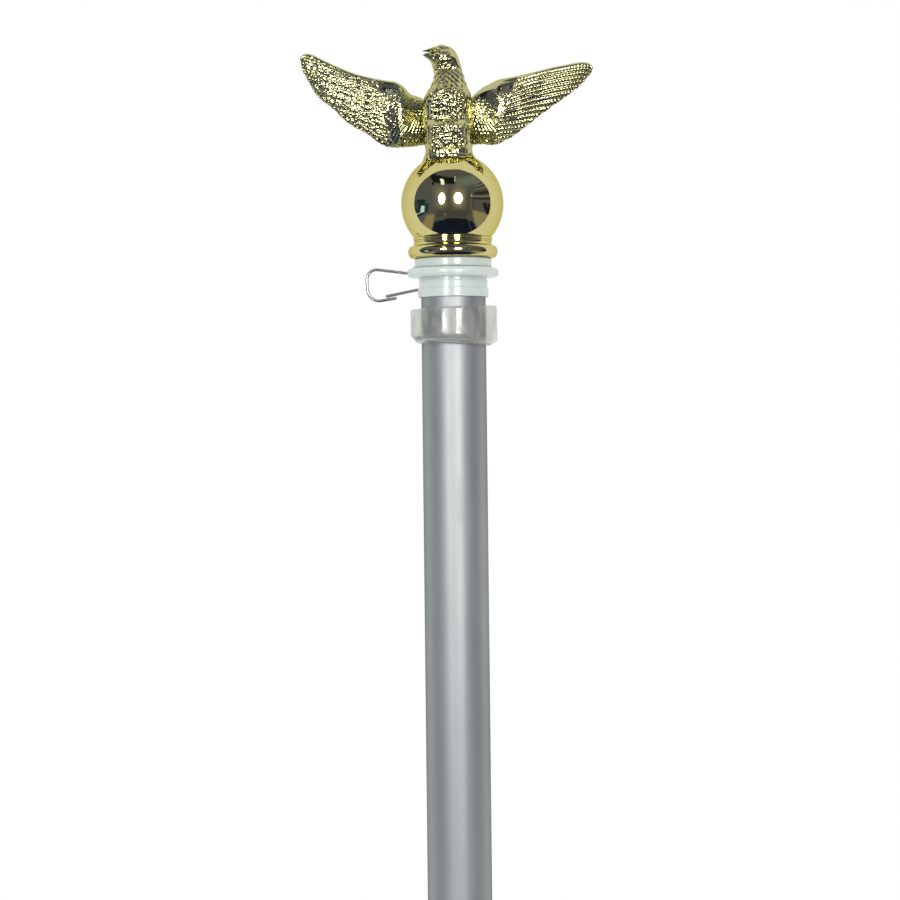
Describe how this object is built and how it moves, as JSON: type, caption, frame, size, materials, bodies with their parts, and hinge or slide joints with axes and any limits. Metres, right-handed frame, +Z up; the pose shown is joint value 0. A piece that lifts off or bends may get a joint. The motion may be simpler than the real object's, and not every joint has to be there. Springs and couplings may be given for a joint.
{
  "type": "flagpole",
  "caption": "Flagpole: aluminium tube in two sections with a gilt eagle and ball finial, turning flag rings with wire snap clips, and clear stop collars.",
  "frame": {"origin": "centre of the pole's foot, on the underside of the foot plug", "axes": "+Z up the pole to the eagle, -Y towards whoever faces its breast, +X to their right"},
  "size_m": [0.1165, 0.0427, 1.6121],
  "materials": {
    "gold_plating": "pale gold mirror plating",
    "zinc_steel": "zinc-plated steel",
    "brass": "turned brass",
    "white_nylon": "cool white moulded nylon, semi-gloss",
    "satin_aluminium": "satin silver anodised aluminium",
    "spring_wire": "bright spring steel wire",
    "clear_vinyl": "clear soft vinyl, scuffed"
  },
  "bodies": {
    "pole": {"eagle": "gold_plating", "ball": "gold_plating", "eagle_stud": "zinc_steel", "finial_insert": "brass", "finial_bolt": "zinc_steel", "bolt_washer": "zinc_steel", "top_plug": "white_nylon", "upper_tube": "satin_aluminium", "joiner_tube": "satin_aluminium", "joiner_rivets": "satin_aluminium", "snap_spring": "spring_wire", "lower_tube": "satin_aluminium", "foot_plug": "white_nylon"},
    "top_ring": {"top_ring": "white_nylon"},
    "top_clip": {"top_clip_hook": "spring_wire"},
    "top_gate": {"top_clip_gate": "spring_wire"},
    "top_collar": {"top_stop_collar": "clear_vinyl"},
    "lower_collar": {"lower_stop_collar": "clear_vinyl"},
    "lower_ring": {"lower_ring": "white_nylon"},
    "lower_clip": {"lower_clip_hook": "spring_wire"},
    "lower_gate": {"lower_clip_gate": "spring_wire"},
    "button": {"snap_button": "brass"}
  },
  "joints": [
    {"name": "top_ring_turn", "type": "hinge", "parent": "pole", "child": "top_ring", "pos_m": [0, 0, 1.5188], "axis": [0, 0, 1], "continuous": true},
    {"name": "top_clip_swivel", "type": "hinge", "parent": "top_ring", "child": "top_clip", "pos_m": [-0.01256, 0.01054, 1.5217], "axis": [0, 0, 1], "range_deg": [-88, 8]},
    {"name": "top_gate_open", "type": "hinge", "parent": "top_clip", "child": "top_gate", "pos_m": [-0.01256, 0.01054, 1.518], "axis": [0, 1, 0], "range_deg": [0, 22], "stiffness_Nm_per_rad": 0.17, "springref_deg": -2.86},
    {"name": "top_collar_slide", "type": "slide", "parent": "pole", "child": "top_collar", "axis": [0, 0, 1], "range_m": [-0.15, 0.0038]},
    {"name": "lower_collar_slide", "type": "slide", "parent": "pole", "child": "lower_collar", "axis": [0, 0, 1], "range_m": [-0.3, 0.075]},
    {"name": "lower_ring_turn", "type": "hinge", "parent": "lower_collar", "child": "lower_ring", "pos_m": [0, 0, 0.605], "axis": [0, 0, 1], "continuous": true},
    {"name": "lower_clip_swivel", "type": "hinge", "parent": "lower_ring", "child": "lower_clip", "pos_m": [-0.01256, 0.01054, 0.6079], "axis": [0, 0, 1], "range_deg": [-88, 8]},
    {"name": "lower_gate_open", "type": "hinge", "parent": "lower_clip", "child": "lower_gate", "pos_m": [-0.01256, 0.01054, 0.6042], "axis": [0, 1, 0], "range_deg": [0, 22], "stiffness_Nm_per_rad": 0.17, "springref_deg": -2.86},
    {"name": "snap_button_press", "type": "slide", "parent": "pole", "child": "button", "axis": [0, 1, 0], "range_m": [0, 0.0038], "stiffness_N_per_m": 2500, "springref_m": -0.001, "deforming": ["snap_spring"]}
  ]
}
